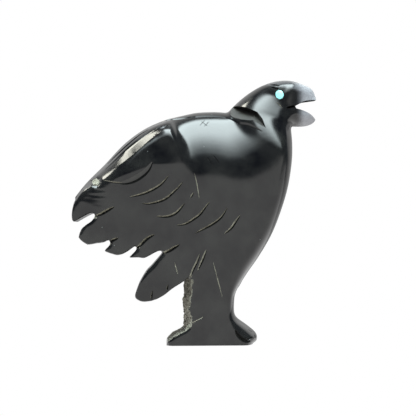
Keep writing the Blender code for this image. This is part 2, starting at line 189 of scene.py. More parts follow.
# Chisel cuts: path, width and depth in drawn steps, and how far the floor leans to the lower edge
TIP_CUT = [
    ([(117, 184.4), (124, 183.4), (131, 181), (138, 176.8), (144.9, 171), (150.2, 163.2)], 6.4, 1.5, 0.55),
]
TIP_LINE = [
    ([(102, 181.4), (109, 183.2), (118.5, 184.2), (128, 182.6)], 1.6, 0.6, 0.2),
]
WING_CUTS = [
    ([(127.3, 198.3), (142.9, 194.4), (157.5, 186.6), (166.3, 176.8)], 2.8, 1.2, -0.1),
    ([(139, 204.1), (147.8, 204.6), (162.4, 200.2), (175.1, 189), (180, 182.7)], 2.6, 1.2, -0.2),
    ([(153.6, 216.8), (162.4, 217.3), (169.2, 215.8), (175.1, 211.9), (181.9, 203.6)], 2.8, 1.2, -0.1),
    ([(186.8, 199.2), (188.6, 196.2), (190.2, 193.4)], 2.0, 0.7, 0.2),
    ([(173.1, 225.5), (182.9, 224), (195.5, 215.8), (200.4, 209.9), (206.2, 202.2)], 2.6, 1.2, -0.1),
    ([(191.3, 233.6), (204.3, 227.1), (211.8, 222.6), (217.9, 217.2), (223.6, 208)], 2.5, 1.2, -0.3),
    ([(219.9, 234.3), (226.7, 228.5), (231.6, 221.6), (236.1, 215.3)], 2.8, 1.0, 0),
]
LEG_CUTS = [
    ([(202.8, 248.9), (199.4, 257.7), (195.5, 266.5), (194.1, 270.4)], 2.6, 0.9, 0.2),
    ([(196.5, 252.8), (193.6, 260.6), (189.7, 268.4), (186.8, 276.2)], 2.6, 0.9, 0.2),
    ([(155, 259), (150.4, 263.5), (146.3, 268.4), (143.6, 272.4)], 1.8, 0.7, 0.3),
]
ROOT_CUTS = [
    ([(94, 217), (98, 216), (103, 213.8), (113.6, 207.5)], 3.4, 1.8, -0.5),
    ([(106.5, 243.5), (109.8, 241.6), (117.6, 237.7)], 3.2, 1.6, -0.5),
    ([(134, 248), (139, 245), (144.8, 239.2), (152.6, 234.3)], 3.4, 1.7, -0.5),
    ([(159.5, 253.2), (165.3, 251.4), (171.2, 248), (177, 244.1)], 3.4, 1.7, -0.5),
    ([(149.6, 304), (149.4, 297), (150.6, 288.5)], 1.8, 1.6, -0.3),
    ([(164, 292.5), (164.6, 287.5), (165.6, 282.5)], 1.8, 1.2, -0.3),
]
BACK_CUTS = [
    ([(106, 166.5), (116, 156.3), (127, 146), (138, 136.9), (148, 130.6)], 5.6, 2.4, 0),
    ([(104, 171.6), (112, 164.2), (122, 154.4), (135, 143.4), (148, 134.2), (160, 127.8)], 3.4, 1.3, 0),
]
SHOULDER_LINE = [
    (146, 127),
    (156, 124.2),
    (168, 121),
    (180, 119.4),
    (192, 117.8),
    (206, 117),
    (220, 117.7),
    (232, 121),
]
SHOULDER_CUTS = [
    (SHOULDER_LINE, 3.6, 2.1, 0.8),
    ([(224, 118.6), (230, 120.4), (237, 124), (245, 125.6), (252, 129), (259, 133.6)], 2.8, 1.1, 0.7),
]
BROW_CUTS = [
    ([(269.3, 85.0), (273.5, 85.4), (278.6, 87.0)], 2.2, 1.5, 0.3),
    ([(269.3, 88.2), (273.0, 88.6), (277.2, 90.0)], 2.0, 1.3, 0.3),
]
CHEEK_CUTS = [
    ([(273.4, 103.2), (276.8, 106.2), (280.2, 110)], 0.9, 0.4, 0),
]
MOUTH_CUTS = [
    ([(283.4, 109.4), (287, 108.6), (291, 107.6), (296, 107.2)], 2.6, 2.2, 0),
]
TOE_CUTS = [
    ([(231, 327), (233.6, 332), (237.4, 336.2), (241.5, 338.4), (247.5, 339.4)], 4.4, 2.4, 0),
    ([(240.6, 339), (245, 337), (249.5, 334.2)], 1.6, 0.8, 0),
    ([(245, 327.5), (249, 330.5), (252.5, 335), (254.5, 339.5)], 2.0, 1.2, 0),
]
# Fine scratches on the side that shows
SCRATCHES = [
    ([(191, 174), (193.8, 187), (195.8, 200)], 0.7, 0.2, 0),
    ([(171.5, 261), (173.4, 268), (175, 273.5)], 0.7, 0.2, 0),
    ([(209.2, 261), (214, 279), (218.6, 296)], 0.7, 0.2, 0),
    ([(187.4, 321.6), (194, 318), (200.4, 314.6)], 0.8, 0.25, 0),
]
# Scratches whose walls are coloured near black, as painted shade
DARK_SCRATCHES = [
    ([(203, 158), (206, 162), (209, 166.5)], 0.6, 0.15, 0),
    ([(209, 156), (212.4, 160.5), (215.6, 165)], 0.6, 0.15, 0),
    ([(197, 127.6), (200.6, 124.4), (203.4, 121.4)], 0.6, 0.15, 0),
    ([(201.6, 128.4), (204.6, 125.6), (207.4, 122.4)], 0.6, 0.15, 0),
    ([(199, 122.4), (202.6, 125.8), (206, 128.6)], 0.6, 0.15, 0),
]
# The flat dressed edges of the wing and the tail, each between an upper and a lower line on the skin
WING_EDGE_UPPER = [(166, 126.2), (150, 134.6), (138, 143.6), (127, 153.2), (116, 163.6), (105, 174.2)]
WING_EDGE_LOWER = [(168, 128.4), (150, 140.4), (138.4, 150.6), (128.6, 158.9), (115, 169.2), (103.4, 176.4)]
TAIL_EDGE_UPPER = [(92, 179.4), (84, 187.6), (74.8, 198.6)]
TAIL_EDGE_LOWER = [(94.4, 183.6), (86.6, 191.6), (77.4, 201.8)]
# The cut that parts the shoulder from the neck, each corner as x, y and share of half the thickness
NECK_CUT = (
    ((225, 121.5, 0.50), (229.5, 105.5, -0.05), (231, 103, 0.45)),
    ((245, 131, 1.02), (253.5, 115, 0.47), (257, 111.5, 0.95)),
    ((262, 139, 1.15), (265, 135, 0.95), (269, 130, 1.15)),
)

# The line between body and neck, and how far above it the head's narrowing starts and ends
NECK_LINE = ((228, 118), (292, 172))
HEAD_NARROWS = (2, 46)
# Where else the half thickness changes, each as the first place and the last
TAIL_NARROWS = (135, 72)
BEAK_NARROWS = (284, 320)
LEG_NARROWS = (275, 299)
LEG_NARROWS_SHARE = 0.7
FOOT_NARROWS = (280, 330)
FOOT_TOP_SHARE = 0.35
# Reach of the front edge's rounding at the throat, the breast and the leg, and where it changes
THROAT_REACH = 11
BREAST_REACH = 15
LEG_REACH = 9
BREAST_TURNS = (118, 160)
LEG_TURNS = (262, 296)
TOE_REACH = 13
TOE_TURNS = (314, 334)
HEEL_BEHIND = 160
HEEL_REACH = 9
HEEL_TURNS = (322, 330)

# The polished flanks' slight waves, never above the true surface
WAVES_PER_METRE = 170
WAVE_HEIGHT = 0.03 * MM
WAVE_TOP = 0.6
FLANK_TURNS = (0.2, 0.6)
# The flank behind the shoulder falls away above a line, which rises from its start to a level run
FALL_START = (102, 184)
FALL_RISE = 0.387
FALL_LEVEL = 165
FALL_TILT = 0.93
FALL_REACH = 34
FALL_SLOPE = 0.16
FALL_FADES = ((190, 150), (84, 96))
# The rasped hollow of the tail: the line it lies above, its slope, its strokes and their uneven ends
RASP_START = (76, 200)
RASP_DROP = 0.33
RASP_REACH = 30
RASP_SLOPE = 0.06
RASP_STROKE = 4.7
RASP_FIRST_STROKE = 192
RASP_STROKE_DEPTH = 0.05
RASP_STROKE_START = (-1, 3)
RASP_END = 105
RASP_STROKE_JUT = 2.4
RASP_DRIFT = 1.2
RASP_DRIFT_TURN = 0.83
RASP_DRIFT_PHASE = 1
RASP_RUN_OUT = 16
# The stone left as it split: the rear of the leg, and the end of the wing's edge
SPLIT_LEG_FACING = (-0.25, -0.7)
SPLIT_LEG_FADES = (((196, 192), (168, 180)), ((274, 282),))
SPLIT_WING_PLACE = (96, 183)
SPLIT_WING_FADES = (6.5, 3)
SPLIT_LUMPS_PER_METRE = 520
SPLIT_GRAINS_PER_METRE = 1300
SPLIT_GRAIN_SHARE = 0.5
# The lumps' fractal dimension, the ratio of one size to the next, and how many sizes there are
SPLIT_LUMPS = (0.8, 2.1, 4)
SPLIT_LEG_HEIGHT = 0.7 * MM
SPLIT_WING_HEIGHT = 0.35 * MM
GROUND_FLAT = 0.12 * MM

EYE_PLACE = (277.3, 95.9)
EYE_HALF_WIDTH = 1.0 * MM
EYE_HALF_HEIGHT = 1.17 * MM
EYE_TILT = math.radians(12)
EYE_DEPTH = 1.2 * MM
EYE_PROUD = 0.22 * MM
GLUE_GAP = 0.13 * MM
EYE_SIDES = 48
SOCKET_SIDES = 40
# The inlay's dome is built on five rings, and is a little flatter than half an ellipse
DOME_RINGS = 5
DOME_RING_WIDTH = 0.18
DOME_WIDTH = 0.97
DOME_SINK = 0.03

# Spots of bare stone as x, y, reach and strength: the wing's end, the feathers' roots, the tail's root
BARE_SPOTS = [
    (95.5, 183.5, 5.5, 0.85),
    (94.5, 217.5, 4, 0.6),
    (108.5, 243, 3, 0.6),
    (136.5, 246.5, 3.5, 0.6),
    (162, 252, 3, 0.6),
    (187.5, 281, 5.5, 0.6),
    (187.5, 275, 3, 0.6),
]
BARE_SPOT_CORE = 0.3
# Bare stone on the leg's rear and on the heel's top, each place as none and full
BARE_LEG_FADES = (((194, 190), (158, 166)), ((272, 280),))
BARE_LEG_FACING = (-0.3, -0.75)
BARE_LEG_STRENGTH = (0.66, 1)
BARE_LEG_BRIGHTENS = (300, 310)
BARE_LEG_ENDS = (340, 332)
BARE_HEEL_FACING = (0.3, 0.7)
BARE_HEEL_STRENGTH = 0.62
BARE_HEEL_FADES = (325, 330)
# The beak is rubbed dull in front of this line, which leans back over the crown. There its colour is also
# lightened as painted light
RUBBED_AND_PAINTED_LIGHT_FROM = 293
RUBBED_AND_PAINTED_LIGHT_CROWN_BACK = 32
RUBBED_AND_PAINTED_LIGHT_CROWN_TURNS = (93, 85)
RUBBED_AND_PAINTED_LIGHT_BLEND = 12
RUBBED_AND_PAINTED_LIGHT_CROWN_SHARE = 0.15
RUBBED_AND_PAINTED_LIGHT_CROWN_FADES = (304, 288)
RUBBED_AND_PAINTED_LIGHT_THROAT_ENDS = (132, 128)

# Camera, in metres and radians: turned a little towards the tail, and just below level
CAMERA_DISTANCE = 0.42
CAMERA_AZIMUTH = math.radians(-5)
CAMERA_ELEVATION = math.radians(-0.8)
CAMERA_AIM = (-0.0001, 0, 0.0339)
DRAWN_FRAME = 416
VIEW_WIDTH = DRAWN_FRAME * STEP
SENSOR_WIDTH = 36
NEAREST_SEEN = 0.01

# Room and lights: brightness 1 is the white of the background and of the floor
ROOM_FRONT = 1.0
ROOM_BEHIND_LOW = 0.4
ROOM_BEHIND_HIGH = 0.85
ROOM_DARK = (0.07, 0.085, 0.12)
OVERHEAD = (10.2, 11.7, 11.9)
# Where each part of the room begins and is complete, along one axis of the direction looked in
ROOM_FADES = {
    "right side": ("X", 0.35, 0.75),
    "over the ground": ("Z", -0.16, -0.08),
    "over the horizon": ("Z", 0.055, 0.135),
    "not behind": ("Y", 0.6, 0.25),
    "high": ("Z", 0.1, 0.4),
    "behind": ("Y", -0.1, 0.4),
    "softbox's left end": ("X", -0.34, -0.2),
    "softbox's right end": ("X", 0.4, 0.3),
    "softbox's front edge": ("Y", -0.98, -0.36),
    "softbox's rear edge": ("Y", 0.3, 0.1),
    "overhead": ("Z", 0.4, 0.55),
}
# The parts that are made of several, in the order in which they are multiplied
ROOM_PARTS = {
    "right": ("right side", "over the ground"),
    "across": ("softbox's left end", "softbox's right end"),
    "along": ("softbox's front edge", "softbox's rear edge", "overhead"),
    "softbox": ("across", "along"),
}
FLOOR_SIZE = 1.2
FLOOR_CENTRE = (0, -0.5, -0.02 * MM)
LIGHT_AIM = (0, 0, 0.035)
SIDE_DIRECTION = (-0.55, 0.2, 0.8)
SIDE_DISTANCE = 0.5
SIDE_SIZE = 0.18
SIDE_BRIGHTNESS = 11.5
SIDE_COLOUR = (1, 0.99, 0.87)

# How finely lines are drawn, and how finely the blank is made before it is polished
LINE_STEPS = 8
SECTION_STEPS = 8
ACROSS_BODY = 72
SLICE_STEPS = 4
ACROSS_FOOT = 48
EDGE_STEPS = 6
VOXEL = 0.38 * MM
POLISH_ROUNDS = 7
POLISH_FACTOR = 0.5

# A place just off the outline is brought to the skin from here, on the near side
BESIDE_SKIN = -0.3 * BODY
# A chisel cut's rings lie this far apart on the drawing, and both its ends run out of the skin
CHISEL_STEP = 1.6
FEWEST_CHISEL_STEPS = 6
EVENING_ROUNDS = 4
RUN_OUT_POWER = 0.55
RUN_OUT_LIFT = 0.1
EDGE_PLANE_STEP = 3
FEWEST_EDGE_PLANE_STEPS = 8
EDGE_PLANE_RISE = 1.2 * MM
# How deep the relief in a cut's walls is
CUT_RELIEF = 0.05 * MM
# Edges sharper than these angles stay crisp in the shading
CRISP_STONE = math.radians(24)
CRISP_EYE = math.radians(40)
SHADING_WEIGHT = 60


def deselect_all():
    if bpy.context.mode != "OBJECT":
        bpy.ops.object.mode_set(mode="OBJECT")
    bpy.ops.object.select_all(action="DESELECT")


def pick(thing):
    """Makes this object the only selected one, and the active one."""
    deselect_all()
    thing.select_set(True)
    bpy.context.view_layer.objects.active = thing


def to_metres(drawn):
    """Drawing points to x and z in metres."""
    drawn = np.asarray(drawn, float)
    return np.stack([(drawn[..., 0] - DRAWN_CENTRE) * STEP, (DRAWN_GROUND - drawn[..., 1]) * STEP], axis=-1)


def smooth_line(keys, per_span):
    """A Catmull-Rom line through the keys, which may hold any number of columns."""
    keys = np.asarray(keys, float)
    padded = np.vstack([2 * keys[0] - keys[1], keys, 2 * keys[-1] - keys[-2]])
    rows = []
    for i in range(len(keys) - 1):
        a, b, c, d = padded[i : i + 4]
        for u in np.arange(per_span) / per_span:
            bend = (2 * a - 5 * b + 4 * c - d) * u**2 + (3 * b - a - 3 * c + d) * u**3
            rows.append(0.5 * (2 * b + (c - a) * u + bend))
    rows.append(keys[-1])
    return np.array(rows)


def even_line(keys, spacing, fewest):
    """The smooth line through the keys, cut into equal lengths."""
    line = smooth_line(keys, LINE_STEPS)
    travelled = np.concatenate([[0], np.cumsum(np.linalg.norm(np.diff(line, axis=0), axis=1))])
    count = max(fewest, round(travelled[-1] / spacing))
    stops = np.linspace(0, travelled[-1], count + 1)
    return np.stack([np.interp(stops, travelled, line[:, k]) for k in range(line.shape[1])], axis=-1)


def distance_to(points, line):
    """How far each drawn point is from a drawn line."""
    start = line[:-1]
    along = line[1:] - start
    away = points[..., None, :] - start
    share = (away * along).sum(-1) / (along**2).sum(-1)
    nearest = away - np.clip(share, 0, 1)[..., None] * along
    return np.sqrt((nearest**2).sum(-1)).min(-1)


def ease(value, low, high):
    """0 at low, 1 at high and smooth between them."""
    share = np.clip((np.asarray(value, float) - low) / (high - low), 0, 1)
    return share * share * (3 - 2 * share)


def within(value, fades):
    """The product of several fades, each given as the value where it is 0 and the one where it is 1."""
    share = 1.0
    for none, full in fades:
        share = share * ease(value, none, full)
    return share


def rounding(distance, reach):
    """A quarter ellipse: 0 at the edge, 1 from the reach on."""
    inward = 1 - np.clip(distance / reach, 0, 1)
    return np.sqrt(1 - inward**2)


def bird_half_width(drawn, back_reach):
    x = drawn[..., 0]
    y = drawn[..., 1]
    (neck_x, neck_y), (throat_x, throat_y) = NECK_LINE
    run = throat_x - neck_x
    drop = throat_y - neck_y
    above_neck = ((x - neck_x) * drop - (y - neck_y) * run) / math.hypot(drop, run)
    width = BODY + (TAIL - BODY) * ease(x, *TAIL_NARROWS)
    width = width + (HEAD - width) * ease(above_neck, *HEAD_NARROWS)
    width = width + (BEAK_TIP - width) * ease(x, *BEAK_NARROWS)
    width = width - (BODY - FOOT) * LEG_NARROWS_SHARE * ease(y, *LEG_NARROWS)
    back = smooth_line([key[:2] for key in KEY_SECTIONS], EDGE_STEPS)
    front = smooth_line(FRONT_LINE, EDGE_STEPS)
    front_reach = THROAT_REACH + (BREAST_REACH - THROAT_REACH) * ease(y, *BREAST_TURNS)
    front_reach = front_reach + (LEG_REACH - BREAST_REACH) * ease(y, *LEG_TURNS)
    width = width * rounding(distance_to(drawn, back), back_reach)
    width = width * rounding(distance_to(drawn, front), front_reach)
    return np.maximum(width, KEEL)


def foot_half_width(drawn):
    y = drawn[..., 1]
    front = smooth_line([(key[2], key[0]) for key in KEY_SLICES], EDGE_STEPS)
    leg = BODY - (BODY - FOOT) * FOOT_TOP_SHARE
    width = leg + (FOOT - leg) * ease(y, *FOOT_NARROWS)
    front_reach = LEG_REACH + (TOE_REACH - LEG_REACH) * ease(y, *TOE_TURNS)
    width = width * rounding(distance_to(drawn, front), front_reach)
    heel = rounding(drawn[..., 0] - HEEL_BEHIND, HEEL_REACH)
    width = width * (1 - ease(y, *HEEL_TURNS) * (1 - heel))
    return np.maximum(width, KEEL)


def side_blank(name, rows, widths):
    """A closed blank, from a grid laid on the near side's surface and extruded to the far side."""
    down, across = widths.shape
    deselect_all()
    bpy.ops.mesh.primitive_grid_add(x_subdivisions=across - 1, y_subdivisions=down - 1, size=2)
    blank = bpy.context.object
    blank.name = name
    side = to_metres(rows)
    for vertex in blank.data.vertices:
        i = round((vertex.co.y + 1) / 2 * (down - 1))
        j = round((vertex.co.x + 1) / 2 * (across - 1))
        vertex.co = (side[i, j, 0], -widths[i, j], side[i, j, 1])
    bpy.ops.object.mode_set(mode="EDIT")
    bpy.ops.mesh.select_all(action="SELECT")
    bpy.ops.mesh.extrude_region()
    bpy.ops.object.mode_set(mode="OBJECT")
    for vertex in blank.data.vertices:
        if vertex.select:
            vertex.co.y = -vertex.co.y
    face_out(blank)
    return blank


def face_out(thing):
    """Turns all faces outwards."""
    pick(thing)
    bpy.ops.object.mode_set(mode="EDIT")
    bpy.ops.mesh.select_all(action="SELECT")
    bpy.ops.mesh.normals_make_consistent(inside=False)
    bpy.ops.object.mode_set(mode="OBJECT")


def saw(name, outline, reach, slant=0):
    """A flat outline, extruded through the thickness. The slant moves it along X on the body's far
    side, and fades out towards the leg."""
    deselect_all()
    bpy.ops.mesh.primitive_circle_add(vertices=len(outline), fill_type="NGON")
    blade = bpy.context.object
    blade.name = name
    side = to_metres(outline)
    for vertex, (x, z) in zip(blade.data.vertices, side):
        vertex.co = (x, -reach, z)
    bpy.ops.object.mode_set(mode="EDIT")
    bpy.ops.mesh.select_all(action="SELECT")
    bpy.ops.mesh.extrude_region_move(TRANSFORM_OT_translate={"value": (0, 2 * reach, 0)})
    bpy.ops.object.mode_set(mode="OBJECT")
    for vertex in blade.data.vertices:
        x = vertex.co.x / STEP + DRAWN_CENTRE
        vertex.co.x += slant * float(ease(x, *SLANT_FADES)) * (vertex.co.y + BODY) / (2 * BODY)
    face_out(blade)
    return blade


def boolean(piece, tool, operation="DIFFERENCE", solver="MANIFOLD"):
    """Applies one Boolean and throws the tool away."""
    pick(piece)
    modifier = piece.modifiers.new(tool.name, "BOOLEAN")
    modifier.operation = operation
    modifier.solver = solver
    modifier.object = tool
    bpy.ops.object.modifier_apply(modifier=modifier.name)
    bpy.data.objects.remove(tool, do_unlink=True)


def make_blank():
    """The bird roughed out: body and foot sawn, joined, and polished soft all over."""
    sections = smooth_line(KEY_SECTIONS, SECTION_STEPS)
    share = (1 - np.cos(np.linspace(0, math.pi, ACROSS_BODY)))[None, :, None] / 2
    rows = sections[:, None, 0:2] * (1 - share) + sections[:, None, 2:4] * share
    bird = side_blank("raven_carving", rows, bird_half_width(rows, sections[:, None, 4]))
    slices = smooth_line(KEY_SLICES, SLICE_STEPS)
    share = (1 - np.cos(np.linspace(0, math.pi, ACROSS_FOOT)))[None, :] / 2
    x = slices[:, 1:2] * (1 - share) + slices[:, 2:3] * share
    rows = np.stack([x, np.broadcast_to(slices[:, 0:1], x.shape)], axis=-1)
    foot = side_blank("foot_blank", rows, foot_half_width(rows))
    # The heel was sawn at the same slant as the feathers
    heel_x, heel_y = HEEL_SLANT_FADES
    for vertex in foot.data.vertices:
        x = vertex.co.x / STEP + DRAWN_CENTRE
        y = DRAWN_GROUND - vertex.co.z / STEP
        heel = float(ease(x, *heel_x)) * float(ease(y, *heel_y))
        vertex.co.x += SAW_SLANT * heel * (vertex.co.y + BODY) / (2 * BODY)
    boolean(bird, saw("feather saw", SAW_LINE, SAW_REACH, SAW_SLANT), solver="EXACT")
    boolean(bird, foot, "UNION", solver="EXACT")
    pick(bird)
    remesh = bird.modifiers.new("even mesh", "REMESH")
    remesh.mode = "VOXEL"
    remesh.voxel_size = VOXEL
    remesh.use_smooth_shade = True
    bpy.ops.object.modifier_apply(modifier=remesh.name)
    polish = bird.modifiers.new("polish", "SMOOTH")
    polish.factor = POLISH_FACTOR
    polish.iterations = POLISH_ROUNDS
    bpy.ops.object.modifier_apply(modifier=polish.name)
    return bird


def read_surface(mesh):
    """The mesh's points and normals as rows, and where the points lie on the drawing."""
    columns = []
    for name in ("co", "normal"):
        column = np.empty(len(mesh.vertices) * 3, np.float32)
        mesh.vertices.foreach_get(name, column)
        columns.append(column.reshape(-1, 3).astype(float))
    points, normals = columns
    return points, normals, points[:, 0] / STEP + DRAWN_CENTRE, DRAWN_GROUND - points[:, 2] / STEP


def fall_behind_shoulder(x, y):
    """How far the flank falls away, in drawn steps, from the first feather line up to the wing's edge."""
    line = np.maximum(FALL_START[1] - FALL_RISE * (x - FALL_START[0]), FALL_LEVEL)
    above = (line - y) * FALL_TILT
    return np.clip(above, 0, FALL_REACH) * FALL_SLOPE * within(x, FALL_FADES)


def rasped_tail(x, y):
    """How deep the tail is rasped above its first feather, in drawn steps. The strokes end unevenly."""
    stroke = (y - RASP_FIRST_STROKE) * 2 * math.pi / RASP_STROKE
    drift = RASP_DRIFT * np.sin(y * RASP_DRIFT_TURN + RASP_DRIFT_PHASE)
    stroke_ends = RASP_END + RASP_STROKE_JUT * np.cos(stroke) + drift
    above = RASP_START[1] + (x - RASP_START[0]) * RASP_DROP - y
    strokes = RASP_STROKE_DEPTH * ease(above, *RASP_STROKE_START) * (1 - np.sin(stroke))
    depth = np.clip(above, 0, RASP_REACH) * RASP_SLOPE + strokes
    return depth * ease(x, stroke_ends, stroke_ends - RASP_RUN_OUT)


def shape_by_hand(bird):
    """Moves the polished surface where the carver's rasp and the rough stone left it uneven."""
    mesh = bird.data
    points, normals, x, y = read_surface(mesh)
    wave = np.array([noise.noise(Vector(p) * WAVES_PER_METRE) for p in points])
    points += normals * ((wave - WAVE_TOP) * WAVE_HEIGHT)[:, None]
    flank = ease(np.abs(normals[:, 1]), *FLANK_TURNS)
    lowered = np.maximum(fall_behind_shoulder(x, y), rasped_tail(x, y))
    points[:, 1] -= np.sign(points[:, 1]) * flank * lowered * STEP
    # The end of the wing's edge and the rear of the leg were left as the splitting made them
    leg_x, leg_y = SPLIT_LEG_FADES
    back_of_leg = ease(normals[:, 0], *SPLIT_LEG_FACING) * within(x, leg_x) * within(y, leg_y)
    wing_end = ease(np.hypot(x - SPLIT_WING_PLACE[0], y - SPLIT_WING_PLACE[1]), *SPLIT_WING_FADES)
    coarse = np.zeros(len(points))
    for i in np.nonzero(back_of_leg + wing_end > 0)[0]:
        spot = Vector(points[i])
        lumps = noise.fractal(spot * SPLIT_LUMPS_PER_METRE, *SPLIT_LUMPS)
        coarse[i] = lumps + SPLIT_GRAIN_SHARE * noise.noise(spot * SPLIT_GRAINS_PER_METRE)
    points[:, 0] += back_of_leg * coarse * SPLIT_LEG_HEIGHT
    points -= normals * (wing_end * (SPLIT_WING_HEIGHT + coarse * SPLIT_WING_HEIGHT))[:, None]
    # The underside is ground flat
    points[:, 2] = np.where(points[:, 2] < GROUND_FLAT, 0, points[:, 2])
    points = np.clip(points, np.array(raven_low), np.array(raven_high))
    mesh.vertices.foreach_set("co", points.astype(np.float32).ravel())
    mesh.update()


def skin_of(piece):
    return BVHTree.FromObject(piece, bpy.context.evaluated_depsgraph_get())


def on_skin(skin, drawn):
    """The near side's point and outward normal at a place on the drawing."""
    x, z = to_metres(drawn)
    place, normal, _, _ = skin.ray_cast(Vector((x, -HEIGHT, z)), Vector((0, 1, 0)))
    if place is None:
        place, normal, _, _ = skin.find_nearest(Vector((x, BESIDE_SKIN, z)))
    return place, normal


def corner_at(first, second):
    """Which of a three-sided tool's corners a vertex is at, from its place across the tool."""
    return round(math.atan2(first, second) / (2 * math.pi / 3)) % 3


def spindle(name, rings, ends):
    """A three-sided spindle, bent so that its rings and its two ends lie where they are given.

    The faces between each ring's second and third corner are of kind 1, and all others of kind 0.
    """
    turns = len(rings) + 1
    deselect_all()
    bpy.ops.mesh.primitive_uv_sphere_add(segments=3, ring_count=turns, radius=1)
    tool = bpy.context.object
    tool.name = name
    heights = [max(-1, min(1, vertex.co.z)) for vertex in tool.data.vertices]
    levels = [round(math.acos(height) / math.pi * turns) for height in heights]
    corners = [corner_at(vertex.co.y, vertex.co.x) for vertex in tool.data.vertices]
    for face in tool.data.polygons:
        between = {corners[i] for i in face.vertices if 0 < levels[i] < turns}
        face.material_index = int(between == {1, 2})
    for vertex, level, corner in zip(tool.data.vertices, levels, corners):
        vertex.co = ends[level // turns] if level in (0, turns) else rings[level - 1][corner]
    return tool


def chisel(skin, path, width, depth, lean):
    """A V-shaped tool along a drawn path: deepest in the middle, and out of the skin at both ends."""
    line = even_line(path, CHISEL_STEP, FEWEST_CHISEL_STEPS)
    spots = [on_skin(skin, spot) for spot in line]
    last = len(spots) - 1
    places = [place for place, _ in spots]
    normals = [normal for _, normal in spots]
    for _ in range(EVENING_ROUNDS):
        befores = normals[:1] + normals[:-1]
        afters = normals[1:] + normals[-1:]
        normals = [(a + b + c).normalized() for a, b, c in zip(befores, normals, afters)]
    rings = []
    for i in range(1, last):
        deep = math.sin(math.pi * i / last) ** RUN_OUT_POWER
        ahead = places[i + 1] - places[i - 1]
        across = normals[i].cross(ahead).normalized()
        if across.z > 0:
            across = -across
        half = width * STEP / 2 * deep
        sunk = depth * STEP * deep
        lifted = places[i] + normals[i] * sunk
        floor = places[i] - normals[i] * sunk + across * half * lean
        # As far above the skin as the floor is below it, the V is twice as wide as at the skin
        rings.append((lifted - across * half * 2, floor, lifted + across * half * 2))
    lift = RUN_OUT_LIFT * depth * STEP
    ends = [places[0] + normals[0] * lift, places[-1] + normals[-1] * lift]
    return spindle("chisel", rings, ends)


def mirrored(tool):
    """A copy of the tool on the far side."""
    other = tool.copy()
    other.data = tool.data.copy()
    bpy.context.scene.collection.objects.link(other)
    for vertex in other.data.vertices:
        vertex.co.y = -vertex.co.y
    return other


def carve(bird, tools, surfaces, both_sides=True):
    """Cuts with each tool, and with its mirror image where both sides have the cut.

    The surfaces are the numbers of the materials that the walls get where the tool's faces are of
    kind 0 and of kind 1. In a chisel cut those are the upper wall and the lower one.
    """
    for tool in tools:
        for material in bird.data.materials:
            tool.data.materials.append(material)
        for face in tool.data.polygons:
            face.material_index = surfaces[face.material_index]
        group = [tool, mirrored(tool)] if both_sides else [tool]
        deselect_all()
        for part in group:
            part.select_set(True)
        bpy.context.view_layer.objects.active = tool
        if both_sides:
            bpy.ops.object.join()
        face_out(tool)
        boolean(bird, tool)


def edge_plane(skin, upper_line, lower_line):
    """The tool that dresses an edge flat, between two lines on the skin."""
    lines = [even_line(line, EDGE_PLANE_STEP, FEWEST_EDGE_PLANE_STEPS) for line in (upper_line, lower_line)]
    count = min(len(line) for line in lines)
    upper, lower = [line[np.round(np.linspace(0, len(line) - 1, count)).astype(int)] for line in lines]
    rings = []
    for high, low in zip(upper, lower):
        a, normal_a = on_skin(skin, high)
        b, normal_b = on_skin(skin, low)
        out = (normal_a + normal_b).normalized()
        rings.append((a, (a + b) / 2 + out * EDGE_PLANE_RISE, b))
    ends = [(rings[0][0] + rings[0][2]) / 2, (rings[-1][0] + rings[-1][2]) / 2]
    return spindle("edge plane", rings[1:-1], ends)


def neck_tool():
    """The wedge that cuts the neck free. Its ledge's faces are of kind 1, and its wall's of kind 0."""
    rings = []
    for station in NECK_CUT:
        ring = []
        for x, y, share in station:
            across, up = to_metres((x, y))
            ring.append(Vector((across, -share * BODY, up)))
        rings.append(ring)
    deselect_all()
    bpy.ops.mesh.primitive_cylinder_add(vertices=3, depth=2, end_fill_type="NGON")
    tool = bpy.context.object
    tool.name = "neck chisel"
    bpy.ops.object.mode_set(mode="EDIT")
    bpy.ops.mesh.select_all(action="SELECT")
    bpy.ops.mesh.bisect(plane_co=(0, 0, 0), plane_no=(0, 0, 1))
    bpy.ops.object.mode_set(mode="OBJECT")
    corners = [corner_at(vertex.co.x, vertex.co.y) for vertex in tool.data.vertices]
    for face in tool.data.polygons:
        face.material_index = int({corners[i] for i in face.vertices} == {0, 1})
    for vertex, corner in zip(tool.data.vertices, corners):
        vertex.co = rings[round(vertex.co.z) + 1][corner]
    return tool


def eye_socket(place, normal):
    """The drilled oval hole that the inlay sits in."""
    deselect_all()
    bpy.ops.mesh.primitive_cylinder_add(vertices=SOCKET_SIDES, radius=1, depth=2)
    tool = bpy.context.object
    tool.name = "socket drill"
    lay_on_head(tool, place, normal, GLUE_GAP, EYE_DEPTH + GLUE_GAP)
    return tool


def lay_on_head(piece, place, normal, wider, depth):
    """Fits a unit-sized turned form to the oval of the eye, with its face along the head's normal."""
    level = Vector((0, 0, 1)).cross(normal).normalized()
    rise = normal.cross(level)
    along = level * math.cos(EYE_TILT) + rise * math.sin(EYE_TILT)
    above = rise * math.cos(EYE_TILT) - level * math.sin(EYE_TILT)
    for vertex in piece.data.vertices:
        x, y, z = vertex.co
        out = along * x * (EYE_HALF_WIDTH + wider) + above * y * (EYE_HALF_HEIGHT + wider)
        vertex.co = place + out + normal * z * depth


